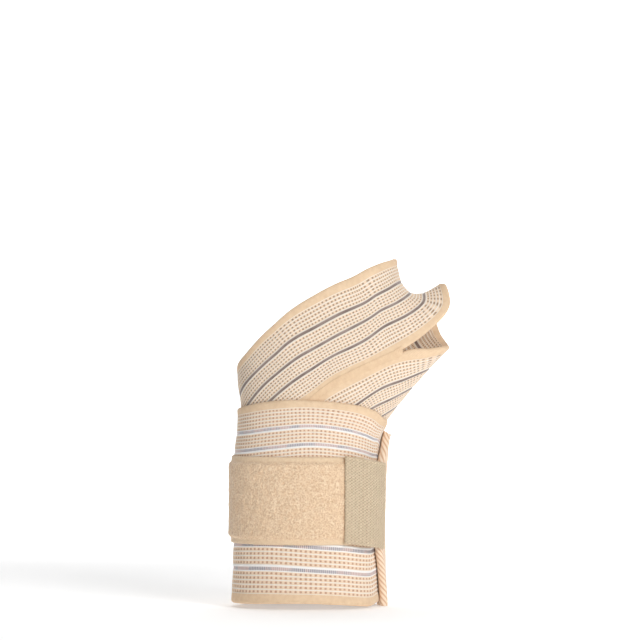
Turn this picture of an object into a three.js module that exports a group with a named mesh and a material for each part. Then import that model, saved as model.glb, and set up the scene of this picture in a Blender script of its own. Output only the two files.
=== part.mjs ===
// An elastic wrist wrap with a thumb loop, in the shape it holds when worn on a left hand.
// Two elastic bands lie edge to edge. They loop round the thumb, cross the back of the hand,
// pass round the wrist twice as a cuff, and close with a hook tab on a loop pad.
// Millimetres, +Z up along the forearm towards the fingers, +X towards the thumb, -Y towards
// the back of the hand. The origin is on the wrist's axis at the cuff's lower opening.
import * as THREE from "three";

// Elastic band
const BAND_WIDTH = 49; // selvage to selvage
const BAND_THICKNESS = 1.25; // at a grip stripe, the thinnest place
const PANEL_RISE = 0.3; // how far the middle of a net panel stands above the stripes beside it
const PANEL_SHOULDER = 0.22; // and its edges
const SELVAGE_WIDTH = 4;
const STRIPE_PITCH = 10.1; // between the three grip stripes, the middle one central
const STRIPE_WIDTH = 2.6;
const EDGE_RADIUS = 0.45; // how far the rim of a band is rounded off
const LAYER_GAP = 0.35; // between one turn and the next
const SEAM_GAP = 0.3; // between the two bands where they are sewn edge to edge

// The limb that the wrap holds its shape round
const WRIST_BREADTH = 62; // thumb side to little finger side
const WRIST_DEPTH = 45; // back to palm side
const THUMB_REACH = 69.5; // wrist axis to the root of the thumb
const HAND_RISE = 70; // from the top of the cuff to the top of the hand strap
const SIDE_BLEND = 0.5; // how gently the limb's two sides pass into each other

// Closure
const PAD_WIDTH = 42.4; // loop tape, across
const PAD_HEIGHT = 52; // its middle, above the cuff's lower edge
const PAD_THICKNESS = 2.2;
const PAD_RIM_WIDTH = 2.8; // flat edge of the loop tape, without pile
const PAD_RIM_THICKNESS = 0.9;
const TAB_WIDTH = 42.2;
const TAB_THICKNESS = 1.2;
const TAB_RISE = 0.7; // of its free end's middle above the pad's middle
const TAB_DROP = 3.4; // by which its sewn end sits lower than its free end
const TAB_ANCHOR = 2; // degrees of turn from the tab's sewn end to FLAP_TURN
const TAB_GRIP = 41; // and from there to its free end
const TAB_SETTLE = [18, 30]; // and from there to where it leaves the binding and where it lies on the pad
const BINDING_WIDTH = 9; // tape folded over the flap's end, on each face
const BINDING_THICKNESS = 0.8;
const BINDING_FOLD = 1.6; // how far the fold stands out past the flap's end
const PIECE_GAP = 0.3; // between two pieces that are sewn together

// Turns are degrees of winding: 0 is the thumb side, 90 the back of the hand, 180 the little
// finger side and 270 the palm side, and each further 360 is one more time round.
const FIRST_TURN = -75; // where the two bands meet on the palm side of the thumb loop
const LOOP_TURN = 50; // where the upper band leaves the limb's own shape for the thumb loop
const LOOP_MELT = 24; // the degrees over which it does so
const LIFT_TURN = 660; // where the flap begins to stand off for the binding's inner leg
const LIFTED_TURN = 705; // and where it stands off by all of it
const FLAP_TURN = 740; // where the flap ends, on the thumb side
const PAD_TURNS = [400, 600];
const LOOP_STEP = 6.25; // from one section of the solids to the next, in the thumb loop
const CUFF_STEP = 10; // and in the cuff, where the same steps come round again on each layer
const TAB_STEP = 5;
const BINDING_STEP = 3.5; // height of one step of the binding
const INNER_STEP = 6; // across the faces that have no stripes
const FULL_TURN = 360;
const END_GAP_TURN = 0.4; // between the two bands' ends, where they are sewn together

const PANEL_THICKNESS = BAND_THICKNESS + PANEL_RISE;
const LAYER_PITCH = PANEL_THICKNESS + LAYER_GAP;
const CUFF_HEIGHT = 2 * BAND_WIDTH;
const FLAP_LIFT = BINDING_THICKNESS + PIECE_GAP;
const FLAP_LAYERS = (FLAP_TURN - FIRST_TURN) / FULL_TURN; // layers of cloth under the flap's end
const FLAP_GIRTH = Math.PI * (WRIST_BREADTH + 2 * FLAP_LAYERS * LAYER_PITCH);
const DEGREES_PER_LENGTH = FULL_TURN / FLAP_GIRTH;

// Sections of the limb. bands and rise give the height, as shares of the band's width and of the
// hand's rise. The others are half sizes: radial and ulnar as shares of half the wrist's breadth,
// flare as the share of the way from there out to the thumb's root, and dorsal and palmar as
// shares of half the wrist's depth.
const limbSections = [
  { bands: 0, rise: 0, radial: 0.985, flare: 0, ulnar: 1.08, dorsal: 1.1, palmar: 1.14 },
  { bands: 0.37, rise: 0, radial: 0.95, flare: 0, ulnar: 1.05, dorsal: 1.08, palmar: 1.12 },
  { bands: 1, rise: 0, radial: 0.97, flare: 0, ulnar: 1.035, dorsal: 1.04, palmar: 1.06 },
  { bands: 1.49, rise: 0, radial: 0.99, flare: 0, ulnar: 1.03, dorsal: 0.99, palmar: 1.01 },
  { bands: 1.76, rise: 0, radial: 1.035, flare: 0.02, ulnar: 0.985, dorsal: 0.96, palmar: 0.99 },
  { bands: 2, rise: 0, radial: 1.1, flare: 0.22, ulnar: 0.985, dorsal: 0.95, palmar: 1.02 },
  { bands: 2, rise: 0.15, radial: 1.1, flare: 0.45, ulnar: 1.035, dorsal: 0.95, palmar: 1.06 },
  { bands: 2, rise: 0.28, radial: 1.1, flare: 0.68, ulnar: 1.05, dorsal: 0.94, palmar: 1.08 },
  { bands: 2, rise: 0.42, radial: 1.1, flare: 0.95, ulnar: 1.09, dorsal: 0.93, palmar: 1.06 },
  { bands: 2, rise: 0.6, radial: 1.1, flare: 0.66, ulnar: 1.15, dorsal: 0.9, palmar: 1 },
  { bands: 2, rise: 0.7, radial: 1.1, flare: 0.5, ulnar: 1.2, dorsal: 0.88, palmar: 0.96 },
  { bands: 2, rise: 0.9, radial: 1.1, flare: 0.28, ulnar: 1.26, dorsal: 0.85, palmar: 0.92 },
  { bands: 2, rise: 1.05, radial: 1.1, flare: 0.24, ulnar: 1.28, dorsal: 0.82, palmar: 0.9 },
];

// Where the bands run. bands and rise give the height of the line between the two bands, which
// up to the thumb opening's corner is the lower band's upper edge. upper and lower are the
// heights that the two bands take up there, as shares of the band's width. sink and crowd are
// how far the stripes move towards that line and towards the middle of their own band, where
// the cloth is stretched unevenly across.
const windingSections = [
  { turn: 0, bands: 2, rise: 0.419, upper: 0.84, lower: 0.761, sink: 0, crowd: -0.9 },
  { turn: 15, bands: 2, rise: 0.415, upper: 0.84, lower: 0.84, sink: 0, crowd: -0.3 },
  { turn: 30, bands: 2, rise: 0.403, upper: 0.84, lower: 0.98, sink: 0, crowd: 0.2 },
  { turn: 45, bands: 2, rise: 0.388, upper: 0.825, lower: 1.15, sink: 0, crowd: 0.6 },
  { turn: 60, bands: 2, rise: 0.283, upper: 0.88, lower: 1.22, sink: -0.012, crowd: 0.7 },
  { turn: 75, bands: 2, rise: 0.162, upper: 0.962, lower: 1.23, sink: 0, crowd: 0.5 },
  { turn: 90, bands: 2, rise: 0.03, upper: 1.02, lower: 1.2, sink: 0.015, crowd: 0.25 },
  { turn: 120, bands: 1.8, rise: 0.01, upper: 0.97, lower: 1.15, sink: 0.012, crowd: 0.05 },
  { turn: 150, bands: 1.55, rise: 0, upper: 0.98, lower: 1.12, sink: 0, crowd: 0 },
  { turn: 180, bands: 1.306, rise: 0, upper: 1.08, lower: 1.1, sink: 0, crowd: 0 },
  { turn: 225, bands: 1.22, rise: 0, upper: 0.98, lower: 1.1, sink: 0, crowd: 0 },
  { turn: 270, bands: 1.163, rise: 0, upper: 0.857, lower: 1.09, sink: 0, crowd: 0 },
  { turn: 315, bands: 1.12, rise: 0, upper: 0.735, lower: 1.075, sink: 0, crowd: 0 },
  { turn: 360, bands: 1.102, rise: 0, upper: 0.7, lower: 1.07, sink: 0, crowd: 0 },
  { turn: 374, bands: 1.11, rise: 0, upper: 0.77, lower: 1.08, sink: 0, crowd: 0 },
  { turn: 386, bands: 1.11, rise: 0, upper: 0.795, lower: 1.1, sink: 0, crowd: 0 },
  { turn: 400, bands: 1.125, rise: 0, upper: 0.835, lower: 1.11, sink: 0, crowd: 0 },
  { turn: 420, bands: 1.155, rise: 0, upper: 0.86, lower: 1.12, sink: 0, crowd: 0 },
  { turn: 450, bands: 1.175, rise: 0, upper: 0.88, lower: 1.12, sink: 0.004, crowd: 0 },
  { turn: 480, bands: 1.16, rise: 0, upper: 0.89, lower: 1.11, sink: 0.03, crowd: 0 },
  { turn: 510, bands: 1.14, rise: 0, upper: 0.865, lower: 1.105, sink: 0.038, crowd: 0 },
  { turn: 540, bands: 1.128, rise: 0, upper: 0.838, lower: 1.1, sink: 0.03, crowd: 0 },
  { turn: 600, bands: 1.11, rise: 0, upper: 0.805, lower: 1.09, sink: 0, crowd: 0 },
  { turn: 660, bands: 1.1, rise: 0, upper: 0.755, lower: 1.085, sink: 0, crowd: 0 },
  { turn: 720, bands: 1.082, rise: 0, upper: 0.704, lower: 1.076, sink: 0, crowd: 0 },
  { turn: 750, bands: 1.071, rise: 0, upper: 0.696, lower: 1.07, sink: 0, crowd: 0 },
];

// How far the flap's end lies past FLAP_TURN, in degrees: the tab pulls its middle forward and its
// corners stay behind. height is a share of the flap's.
const flapEnd = [
  { height: 0, past: -21 },
  { height: 0.07, past: -20 },
  { height: 0.14, past: -17 },
  { height: 0.23, past: -10 },
  { height: 0.33, past: -2 },
  { height: 0.45, past: 3 },
  { height: 0.65, past: 3 },
  { height: 0.75, past: 0.5 },
  { height: 0.82, past: -4 },
  { height: 0.88, past: -11 },
  { height: 0.94, past: -18 },
  { height: 1, past: -24 },
];

// The thumb loop past the limb's own shape. The inner edge lies round the thumb: x as a share of
// the thumb's reach, y of half the wrist's depth, z of the hand's rise above the cuff. across is
// the way from it to the outer edge and sag the middle's way off the straight line between them,
// both as shares of the band's width.
const whereBandsMeet = {
  turn: FIRST_TURN, x: 0.899, y: 0.82, z: 0.586,
  acrossX: -0.89, acrossY: 0.15, acrossZ: -0.07, sagX: -0.04, sagY: 0.09, sagZ: -0.06,
};
const upperLoopSections = [
  { turn: 35, x: 0.82, y: -0.57, z: 0.505,
    acrossX: -0.46, acrossY: 0.04, acrossZ: 0.69, sagX: -0.065, sagY: -0.04, sagZ: -0.05 },
  { turn: 16, x: 0.985, y: -0.33, z: 0.68,
    acrossX: -0.6, acrossY: 0.03, acrossZ: 0.47, sagX: -0.125, sagY: -0.03, sagZ: -0.13 },
  { turn: 0, x: 0.965, y: 0.03, z: 0.843,
    acrossX: -0.52, acrossY: 0.01, acrossZ: 0.25, sagX: -0.106, sagY: 0.02, sagZ: -0.23 },
  { turn: -20, x: 0.914, y: 0.46, z: 0.785,
    acrossX: -0.54, acrossY: -0.02, acrossZ: 0.21, sagX: -0.05, sagY: 0.04, sagZ: -0.18 },
  { turn: -46, x: 0.892, y: 0.73, z: 0.686,
    acrossX: -0.7, acrossY: 0.04, acrossZ: 0.13, sagX: -0.05, sagY: 0.08, sagZ: -0.14 },
  whereBandsMeet,
];
const lowerLoopSections = [
  whereBandsMeet,
  { turn: -50, x: 0.928, y: 0.73, z: 0.5,
    acrossX: -0.86, acrossY: 0.18, acrossZ: -0.43, sagX: 0, sagY: 0.1, sagZ: 0 },
  { turn: -25, x: 0.971, y: 0.43, z: 0.436,
    acrossX: -0.74, acrossY: 0.15, acrossZ: -0.64, sagX: 0.02, sagY: 0.06, sagZ: 0.01 },
];

const elastic = new THREE.MeshStandardMaterial({ color: 0xe9d8bd, roughness: 0.9, metalness: 0 });
const pile = new THREE.MeshStandardMaterial({ color: 0xdcbf99, roughness: 1, metalness: 0 });
const hookTape = new THREE.MeshStandardMaterial({ color: 0xd3c3a0, roughness: 0.8, metalness: 0 });
const thread = new THREE.MeshStandardMaterial({ color: 0xf0d8bb, roughness: 0.85, metalness: 0 });

// A smooth curve through one column of a table, flat past its ends.
function columnOf(rows, key, name) {
  const xs = rows.map((row) => row[key]);
  const ys = rows.map((row) => row[name]);
  const slopes = ys.map((_, i) => {
    const before = Math.max(i - 1, 0);
    const after = Math.min(i + 1, ys.length - 1);
    return (ys[after] - ys[before]) / (xs[after] - xs[before]);
  });
  return (x) => {
    if (x <= xs[0]) return ys[0];
    if (x >= xs[xs.length - 1]) return ys[ys.length - 1];
    const i = xs.findIndex((end) => x < end) - 1;
    const span = xs[i + 1] - xs[i];
    const t = (x - xs[i]) / span;
    const rest = 1 - t;
    return (
      rest * rest * (1 + 2 * t) * ys[i] +
      t * t * (3 - 2 * t) * ys[i + 1] +
      t * rest * span * (rest * slopes[i] - t * slopes[i + 1])
    );
  };
}

function columnsOf(rows, key, names) {
  const curves = names.map((name) => columnOf(rows, key, name));
  return (x) => Object.fromEntries(names.map((name, i) => [name, curves[i](x)]));
}

const heightOf = (row) => BAND_WIDTH * row.bands + HAND_RISE * row.rise;
const limbAt = columnsOf(
  limbSections.map((row) => ({ ...row, z: heightOf(row) })),
  "z",
  ["radial", "flare", "ulnar", "dorsal", "palmar"],
);
const windingAt = columnsOf(
  windingSections.map((row) => ({ ...row, line: heightOf(row) })),
  "turn",
  ["line", "upper", "lower", "sink", "crowd"],
);

// A point of the limb's skin.
function skinPoint(turn, z) {
  const angle = THREE.MathUtils.degToRad(turn);
  const cos = Math.cos(angle);
  const sin = Math.sin(angle);
  const limb = limbAt(z);
  const radial = (WRIST_BREADTH / 2) * limb.radial;
  const thumbSide = radial + (THUMB_REACH - radial) * limb.flare;
  const fingerSide = (WRIST_BREADTH / 2) * limb.ulnar;
  const share = THREE.MathUtils.smoothstep(cos, -SIDE_BLEND, SIDE_BLEND);
  const halfX = THREE.MathUtils.lerp(fingerSide, thumbSide, share);
  const halfY = (WRIST_DEPTH / 2) * (sin > 0 ? limb.dorsal : limb.palmar);
  return new THREE.Vector3(halfX * cos, -halfY * sin, z);
}

// The unit normal of a surface given by a function of two numbers.
function normalOf(surface, a, b, stepA, stepB) {
  const alongA = surface(a + stepA, b).sub(surface(a - stepA, b));
  const alongB = surface(a, b + stepB).sub(surface(a, b - stepB));
  return alongA.cross(alongB).normalize();
}

// A point that stands off the skin, square to it.
function offSkin(turn, z, distance) {
  const out = normalOf(skinPoint, turn, z, 1, 0.5);
  return skinPoint(turn, z).addScaledVector(out, -distance);
}

// How far the inner face of a band stands off the skin: it grows by one layer each turn, and
// the flap's end is lifted for its binding.
function windingOffset(turn) {
  const lift = THREE.MathUtils.smoothstep(turn, LIFT_TURN, LIFTED_TURN);
  return (LAYER_PITCH * (turn - FIRST_TURN)) / FULL_TURN + FLAP_LIFT * lift;
}

// The heights of the two bands' edges at a turn: the cuff's lower edge, the two edges at the
// line between the bands, and the upper edge.
function edgeHeights(turn) {
  const { line, upper, lower } = windingAt(turn);
  const half = SEAM_GAP / 2;
  return [line - half - BAND_WIDTH * lower, line - half, line + half, line + half + BAND_WIDTH * upper];
}

// Past the lift, turns are stretched or shortened so that the last one runs along the flap's
// slanted end.
const pastAt = columnOf(flapEnd, "height", "past");
function slantedTurn(turn, z) {
  if (turn < LIFT_TURN) return turn;
  const [bottom, , , top] = edgeHeights(turn);
  const past = pastAt((z - bottom) / (top - bottom));
  return turn + (past * (turn - LIFT_TURN)) / (FLAP_TURN - LIFT_TURN);
}

// The inner face of a band where it follows the limb. across runs from 0 at the line between
// the bands to 1 at the band's outer edge, and side is 1 for the upper band and -1 for the lower.
function onLimb(turn, across, side) {
  const [bottom, lowerTop, upperBottom, top] = edgeHeights(turn);
  const z =
    side > 0
      ? upperBottom + across * (top - upperBottom)
      : lowerTop + across * (bottom - lowerTop);
  return offSkin(slantedTurn(turn, z), z, windingOffset(turn));
}

// The rails of the thumb loop: points at 0, 0.5 and 1 across the band, for one table row.
function loopRails(row) {
  const inner = new THREE.Vector3(
    THUMB_REACH * row.x,
    (WRIST_DEPTH / 2) * row.y,
    CUFF_HEIGHT + HAND_RISE * row.z,
  );
  const across = new THREE.Vector3(row.acrossX, row.acrossY, row.acrossZ).multiplyScalar(BAND_WIDTH);
  const sag = new THREE.Vector3(row.sagX, row.sagY, row.sagZ).multiplyScalar(BAND_WIDTH);
  return [inner, inner.clone().addScaledVector(across, 0.5).add(sag), inner.clone().add(across)];
}

// The inner face of a band's thumb loop, joined smoothly to the limb at the turns given.
function loopSurface(sections, side, limbTurns) {
  const rows = sections.map((row) => ({ turn: row.turn, rails: loopRails(row) }));
  const onto = limbTurns.map((turn) => ({
    turn,
    rails: [0, 0.5, 1].map((across) => onLimb(turn, across, side)),
  }));
  const sorted = [...rows, ...onto].sort((a, b) => a.turn - b.turn);
  const rails = [0, 1, 2].map((rail) =>
    ["x", "y", "z"].map((axis) =>
      columnOf(
        sorted.map((row) => ({ turn: row.turn, value: row.rails[rail][axis] })),
        "turn",
        "value",
      ),
    ),
  );
  return (turn, across) => {
    const weights = [
      2 * (across - 0.5) * (across - 1),
      4 * across * (1 - across),
      2 * across * (across - 0.5),
    ];
    const point = [0, 1, 2].map((axis) =>
      rails.reduce((sum, rail, i) => sum + weights[i] * rail[axis](turn), 0),
    );
    return new THREE.Vector3(...point);
  };
}

// A band's whole inner face: its thumb loop up to the turn from, melting into the limb's shape
// over the next stretch.
function bandSurface(sections, side, from) {
  const ends = [from, from + LOOP_MELT / 2, from + LOOP_MELT];
  const loop = loopSurface(sections, side, ends);
  return (turn, place) => {
    const { sink, crowd } = windingAt(turn);
    const across = place - place * (1 - place) * (4 * sink + crowd * (place - 0.5));
    if (turn >= from + LOOP_MELT) return onLimb(turn, across, side);
    const share = THREE.MathUtils.smoothstep(turn, from, from + LOOP_MELT);
    const point = loop(turn, across);
    return share > 0 ? point.lerp(onLimb(turn, across, side), share) : point;
  };
}

const upperSurface = bandSurface(upperLoopSections, 1, LOOP_TURN);
const lowerSurface = bandSurface(lowerLoopSections, -1, 0);

// A point at a height above a band's inner face.
function aboveSurface(surface, turn, across, height, side) {
  const out = normalOf(surface, turn, across, 1, 0.01);
  return surface(turn, across).addScaledVector(out, -side * height);
}

// A band's outer profile, from its inner to its outer edge: places across and thicknesses.
function bandProfile() {
  const edge = BAND_THICKNESS - EDGE_RADIUS;
  const shoulder = BAND_THICKNESS + PANEL_SHOULDER;
  const middle = BAND_WIDTH / 2;
  const firstStripe = middle - STRIPE_PITCH;
  const firstPanel = (SELVAGE_WIDTH + firstStripe) / 2;
  const half = [
    [0, edge],
    [EDGE_RADIUS, PANEL_THICKNESS],
    [SELVAGE_WIDTH, shoulder],
    [firstPanel, PANEL_THICKNESS],
    [firstStripe - STRIPE_WIDTH / 2, shoulder],
    [firstStripe, BAND_THICKNESS],
    [firstStripe + STRIPE_WIDTH / 2, shoulder],
    [middle - STRIPE_PITCH / 2, PANEL_THICKNESS],
    [middle - STRIPE_WIDTH / 2, shoulder],
  ];
  const otherHalf = half.map(([place, height]) => [BAND_WIDTH - place, height]).reverse();
  return [...half, [middle, BAND_THICKNESS], ...otherHalf];
}

// A closed solid lofted through sections, each a ring of as many points, with caps of the
// triangles given. flip turns its faces round.
function loft(sections, cap, flip) {
  const count = sections[0].length;
  const last = (sections.length - 1) * count;
  const positions = sections.flat().flatMap((point) => [point.x, point.y, point.z]);
  const index = [];
  const face = (a, b, c) => index.push(...(flip ? [a, c, b] : [a, b, c]));
  for (let here = 0; here < last; here += count)
    for (let j = 0; j < count; j++) {
      const next = (j + 1) % count;
      face(here + j, here + count + j, here + count + next);
      face(here + j, here + count + next, here + next);
    }
  cap.forEach(([a, b, c]) => {
    face(a, b, c);
    face(last + a, last + c, last + b);
  });
  const geometry = new THREE.BufferGeometry();
  geometry.setAttribute("position", new THREE.Float32BufferAttribute(positions, 3));
  geometry.setIndex(index);
  geometry.computeVertexNormals();
  return geometry;
}

// The triangles between two chains that run the same way. outer holds the ring's first points
// and inner its last, in reverse, and both are rows of [place, height].
function capBetween(outer, inner) {
  const triangles = [];
  const count = outer.length + inner.length;
  const placeAt = (chain, i) => (i < chain.length ? chain[i][0] : Infinity);
  let top = 0;
  let bottom = 0;
  while (top + 1 < outer.length || bottom + 1 < inner.length) {
    const low = count - 1 - bottom;
    const onTop = placeAt(outer, top + 1) <= placeAt(inner, bottom + 1);
    triangles.push([top, onTop ? top + 1 : low - 1, low]);
    if (onTop) top++;
    else bottom++;
  }
  return triangles;
}

// A strip that runs through stations, between an outer and an inner chain of [place, height].
function stripSolid(stations, outer, inner, pointAt, flip) {
  const ring = [...outer, ...inner.slice().reverse()];
  const sections = stations.map((station) =>
    ring.map(([place, height]) => pointAt(station, place, height)),
  );
  return loft(sections, capBetween(outer, inner), flip);
}

// Stations from one to another, about a step apart.
function stationsBetween(from, to, step) {
  const count = Math.max(1, Math.round((to - from) / step));
  return Array.from({ length: count + 1 }, (_, i) => from + ((to - from) * i) / count);
}

function bandSolid(surface, side) {
  const inner = stationsBetween(0, BAND_WIDTH, INNER_STEP).map((place) => [place, 0]);
  const turns = [
    ...stationsBetween(FIRST_TURN + END_GAP_TURN, LOOP_TURN, LOOP_STEP),
    ...stationsBetween(LOOP_TURN, FLAP_TURN, CUFF_STEP).slice(1),
  ];
  const pointAt = (turn, place, height) =>
    aboveSurface(surface, turn, place / BAND_WIDTH, height, side);
  return stripSolid(turns, bandProfile(), inner, pointAt, side > 0);
}

// The loop tape: pile between two flat rims, on the cuff's outer layer.
function padSolid() {
  const outer = [
    [0, PAD_RIM_THICKNESS],
    [PAD_RIM_WIDTH, PAD_RIM_THICKNESS],
    [PAD_RIM_WIDTH + PAD_THICKNESS / 2, PAD_THICKNESS],
    [PAD_WIDTH / 2, PAD_THICKNESS],
    [PAD_WIDTH - PAD_RIM_WIDTH - PAD_THICKNESS / 2, PAD_THICKNESS],
    [PAD_WIDTH - PAD_RIM_WIDTH, PAD_RIM_THICKNESS],
    [PAD_WIDTH, PAD_RIM_THICKNESS],
  ];
  const inner = stationsBetween(0, PAD_WIDTH, INNER_STEP).map((place) => [place, 0]);
  const pointAt = (turn, place, height) =>
    offSkin(turn, PAD_HEIGHT - PAD_WIDTH / 2 + place, padOffset(turn) + height);
  return stripSolid(stationsBetween(...PAD_TURNS, CUFF_STEP), outer, inner, pointAt, true);
}

// The inner face of the pad, off the skin.
const padOffset = (turn) => windingOffset(turn) + PANEL_THICKNESS + PIECE_GAP;

// The hook tab: sewn over the binding at the flap's end, and gripping the pad one layer below.
function tabSolid() {
  const from = FLAP_TURN - TAB_ANCHOR;
  const to = FLAP_TURN + TAB_GRIP;
  const overBinding =
    windingOffset(FLAP_TURN) + PANEL_THICKNESS + BINDING_THICKNESS + 2 * PIECE_GAP;
  const offset = (turn) => {
    const share = THREE.MathUtils.smoothstep(turn - FLAP_TURN, ...TAB_SETTLE);
    const overPad = padOffset(turn - FULL_TURN) + PAD_THICKNESS + PIECE_GAP;
    return THREE.MathUtils.lerp(overBinding, overPad, share);
  };
  const places = stationsBetween(0, TAB_WIDTH, INNER_STEP);
  const pointAt = (turn, place, height) => {
    const drop = (TAB_DROP * (to - turn)) / (to - from);
    const z = PAD_HEIGHT + TAB_RISE - drop - TAB_WIDTH / 2 + place;
    return offSkin(turn, z, offset(turn) + height);
  };
  const outer = places.map((place) => [place, TAB_THICKNESS]);
  const inner = places.map((place) => [place, 0]);
  return stripSolid(stationsBetween(from, to, TAB_STEP), outer, inner, pointAt, true);
}

// The binding: one tape folded round the flap's end, from the lower edge to the upper.
function bindingSolid() {
  const legs = stationsBetween(-BINDING_WIDTH, 0, BINDING_WIDTH / 3);
  const slotLegs = [...legs.slice(0, -1), PIECE_GAP];
  const foldLegs = [...legs.slice(0, -1), BINDING_FOLD];
  const low = -PIECE_GAP;
  const high = PANEL_THICKNESS + PIECE_GAP;
  const aroundAt = (places, bottom, top) => [
    ...places.map((along) => [along, bottom]),
    ...places.map((along) => [along, top]).reverse(),
  ];
  const outside = aroundAt(foldLegs, low - BINDING_THICKNESS, high + BINDING_THICKNESS);
  const slot = aroundAt(slotLegs, low, high);
  const ring = [...outside, ...slot.slice().reverse()];
  const cap = outside.slice(1).flatMap((_, i) => {
    const under = ring.length - 1 - i;
    return [
      [i, i + 1, under - 1],
      [i, under - 1, under],
    ];
  });
  const [bottom, , , top] = edgeHeights(FLAP_TURN);
  const sections = stationsBetween(bottom, top, BINDING_STEP).map((z) => {
    const end = slantedTurn(FLAP_TURN, z);
    return ring.map(([along, height]) => {
      const past = along * DEGREES_PER_LENGTH;
      return offSkin(end + past, z, windingOffset(FLAP_TURN + past) + height);
    });
  });
  return loft(sections, cap, true);
}

function named(name, geometry, material) {
  const mesh = new THREE.Mesh(geometry, material);
  mesh.name = name;
  return mesh;
}

const wrap = new THREE.Group();
wrap.add(named("upper_band", bandSolid(upperSurface, 1), elastic));
wrap.add(named("lower_band", bandSolid(lowerSurface, -1), elastic));
wrap.add(named("loop_pad", padSolid(), pile));
wrap.add(named("hook_tab", tabSolid(), hookTape));
wrap.add(named("end_binding", bindingSolid(), thread));

export default wrap;
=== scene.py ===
"""An elastic wrist wrap with a thumb loop, dressed over its CAD frame.

Surfaces are worked out in millimetres, as in the part's source, and turned into metres when
a mesh is made. A place on a band is given by its turn of winding, in degrees, and by its way
across the band, from 0 at the line between the two bands to 1 at the outer edge.
"""
import math

import bpy
import numpy as np
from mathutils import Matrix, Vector


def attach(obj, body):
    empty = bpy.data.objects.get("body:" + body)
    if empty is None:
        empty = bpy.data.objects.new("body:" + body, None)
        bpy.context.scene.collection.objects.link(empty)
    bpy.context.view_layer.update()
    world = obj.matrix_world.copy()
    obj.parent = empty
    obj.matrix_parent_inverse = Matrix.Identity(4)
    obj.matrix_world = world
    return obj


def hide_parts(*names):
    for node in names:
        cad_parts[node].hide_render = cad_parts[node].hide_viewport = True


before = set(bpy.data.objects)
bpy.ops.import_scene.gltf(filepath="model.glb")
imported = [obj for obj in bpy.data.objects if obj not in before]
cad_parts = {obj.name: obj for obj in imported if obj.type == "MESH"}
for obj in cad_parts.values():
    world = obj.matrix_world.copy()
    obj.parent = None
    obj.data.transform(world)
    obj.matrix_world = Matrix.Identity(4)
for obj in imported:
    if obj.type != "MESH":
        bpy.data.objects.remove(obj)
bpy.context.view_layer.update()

# Elastic band
BAND_WIDTH = 49.0
BAND_THICKNESS = 1.25
PANEL_RISE = 0.3
PANEL_SHOULDER = 0.22
SELVAGE_WIDTH = 4.0
STRIPE_PITCH = 10.1
STRIPE_WIDTH = 2.6
EDGE_RADIUS = 0.45
LAYER_GAP = 0.35
SEAM_GAP = 0.3

# The form that the wrap is wound round
WRIST_BREADTH = 62.0
WRIST_DEPTH = 45.0
THUMB_REACH = 69.5
HAND_RISE = 70.0
SIDE_BLEND = 0.5

# Closure
PAD_WIDTH = 42.4
PAD_HEIGHT = 52.0
PAD_THICKNESS = 2.2
PAD_RIM_WIDTH = 2.8
PAD_RIM_THICKNESS = 0.9
TAB_WIDTH = 42.2
TAB_THICKNESS = 1.2
TAB_DROP = 3.4
TAB_RISE = 0.7
TAB_ANCHOR = 2  # degrees of turn from the tab's sewn end to FLAP_TURN
TAB_GRIP = 41  # and from there to its free end
TAB_SETTLE = (18, 30)  # and to where it leaves the binding and where it lies on the pad
BINDING_WIDTH = 9.0
BINDING_THICKNESS = 0.8
BINDING_FOLD = 1.6
PIECE_GAP = 0.3

# Flat stitching between the two bands
SEAM_TURNS = (47, 722)
SEAM_WIDTH = 3.2
SEAM_HEIGHT = 1.6  # of its under face above the bands' inner face
SEAM_THICKNESS = 0.14
SEAM_RIB = 0.9  # from one rib of thread to the next
SEAM_RIB_HEIGHT = 0.03
SEAM_BLEND = 0.3  # half of the width over which it passes from one band to the other
SEAM_STEP = 0.4  # degrees from one row of its mesh to the next
SEAM_COLUMNS = 9

# Turns of winding, in degrees
FULL_TURN = 360
FIRST_TURN = -75
LOOP_TURN = 50
LOOP_MELT = 24
LIFT_TURN = 660
LIFTED_TURN = 705
FLAP_TURN = 740
PAD_TURNS = (400, 600)
END_GAP_TURN = 0.4
TAB_FROM = FLAP_TURN - TAB_ANCHOR
TAB_TO = FLAP_TURN + TAB_GRIP

PANEL_THICKNESS = BAND_THICKNESS + PANEL_RISE
LAYER_PITCH = PANEL_THICKNESS + LAYER_GAP
CUFF_HEIGHT = 2 * BAND_WIDTH
FLAP_LIFT = BINDING_THICKNESS + PIECE_GAP
FLAP_LAYERS = (FLAP_TURN - FIRST_TURN) / FULL_TURN
FLAP_GIRTH = math.pi * (WRIST_BREADTH + 2 * FLAP_LAYERS * LAYER_PITCH)
DEGREES_PER_LENGTH = FULL_TURN / FLAP_GIRTH

# The weave's pattern across a band, in steps: a selvage takes 2, each row of holes 1 and each
# stripe 1, so that every border is a whole number.
SELVAGE_STEPS = 2
ROWS = (5, 4, 4, 5)  # of holes, in the four panels between the selvages and the stripes
STRIPES = 3
PATTERN_STEPS = 2 * SELVAGE_STEPS + sum(ROWS) + STRIPES
PATTERN_MIDDLE = PATTERN_STEPS / 2
STRIPE_STEPS = ROWS[1] + 1  # from the middle stripe to each of the others
# Ways in from a band's edge, and heights above its inner face
SELVAGE_RELIEF = [(0, 0.55), (0.15, 1.0), (EDGE_RADIUS, 1.4), (1.4, 1.55), (2.7, 1.55), (3.6, 1.47)]
# Shares of a stripe's width, and heights above BAND_THICKNESS
STRIPE_RELIEF = [(0, 0.24), (0.14, 0.34), (0.3, 0.06), (0.5, 0.02), (0.72, 0.04), (0.86, 0.22)]

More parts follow.
